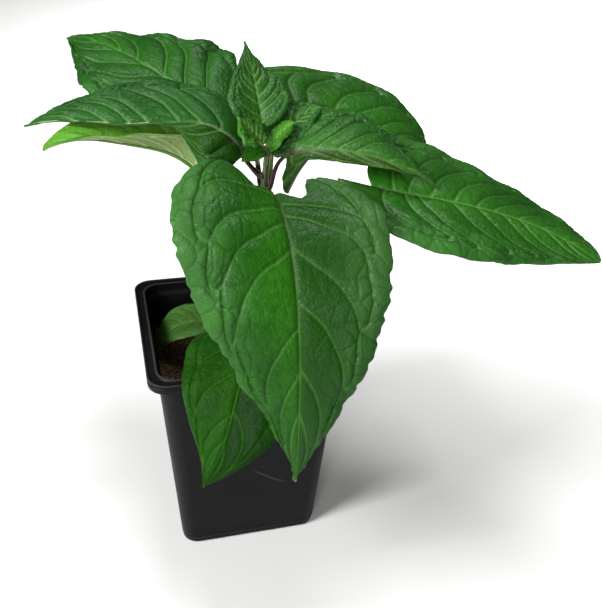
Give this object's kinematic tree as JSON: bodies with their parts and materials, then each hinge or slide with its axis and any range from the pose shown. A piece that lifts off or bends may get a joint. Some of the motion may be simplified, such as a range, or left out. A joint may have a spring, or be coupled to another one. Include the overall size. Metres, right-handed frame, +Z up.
{
  "type": "potted chilli pepper plant",
  "caption": "Young chilli pepper plant with broad pointed leaves, growing in compost in a small square tapered nursery pot with a turned-out rim.",
  "frame": {"origin": "middle of the pot's flat underside, on the surface that the pot stands on", "axes": "+Z up; +X and +Y square to the pot's sides, with the large drooping front leaf towards -Y"},
  "size_m": [0.2278, 0.181, 0.2304],
  "materials": {
    "pot_plastic": "satin",
    "compost": "matte",
    "stem_skin": "satin",
    "leaf_blade": "satin",
    "young_leaf_blade": "satin"
  },
  "bodies": {
    "root": {"pot": "pot_plastic", "compost": "compost", "stem": "stem_skin", "leaf_front": "leaf_blade", "leaf_low_front": "leaf_blade", "leaf_low_left": "young_leaf_blade", "leaf_left": "leaf_blade", "leaf_left_back": "leaf_blade", "leaf_left_under": "leaf_blade", "leaf_centre": "young_leaf_blade", "leaf_right_back": "leaf_blade", "leaf_right_young": "leaf_blade", "leaf_right": "leaf_blade", "leaf_tip_left": "young_leaf_blade", "leaf_tip_under": "young_leaf_blade", "leaf_tip_bright": "young_leaf_blade", "leaf_tip_right": "young_leaf_blade"}
  },
  "joints": []
}
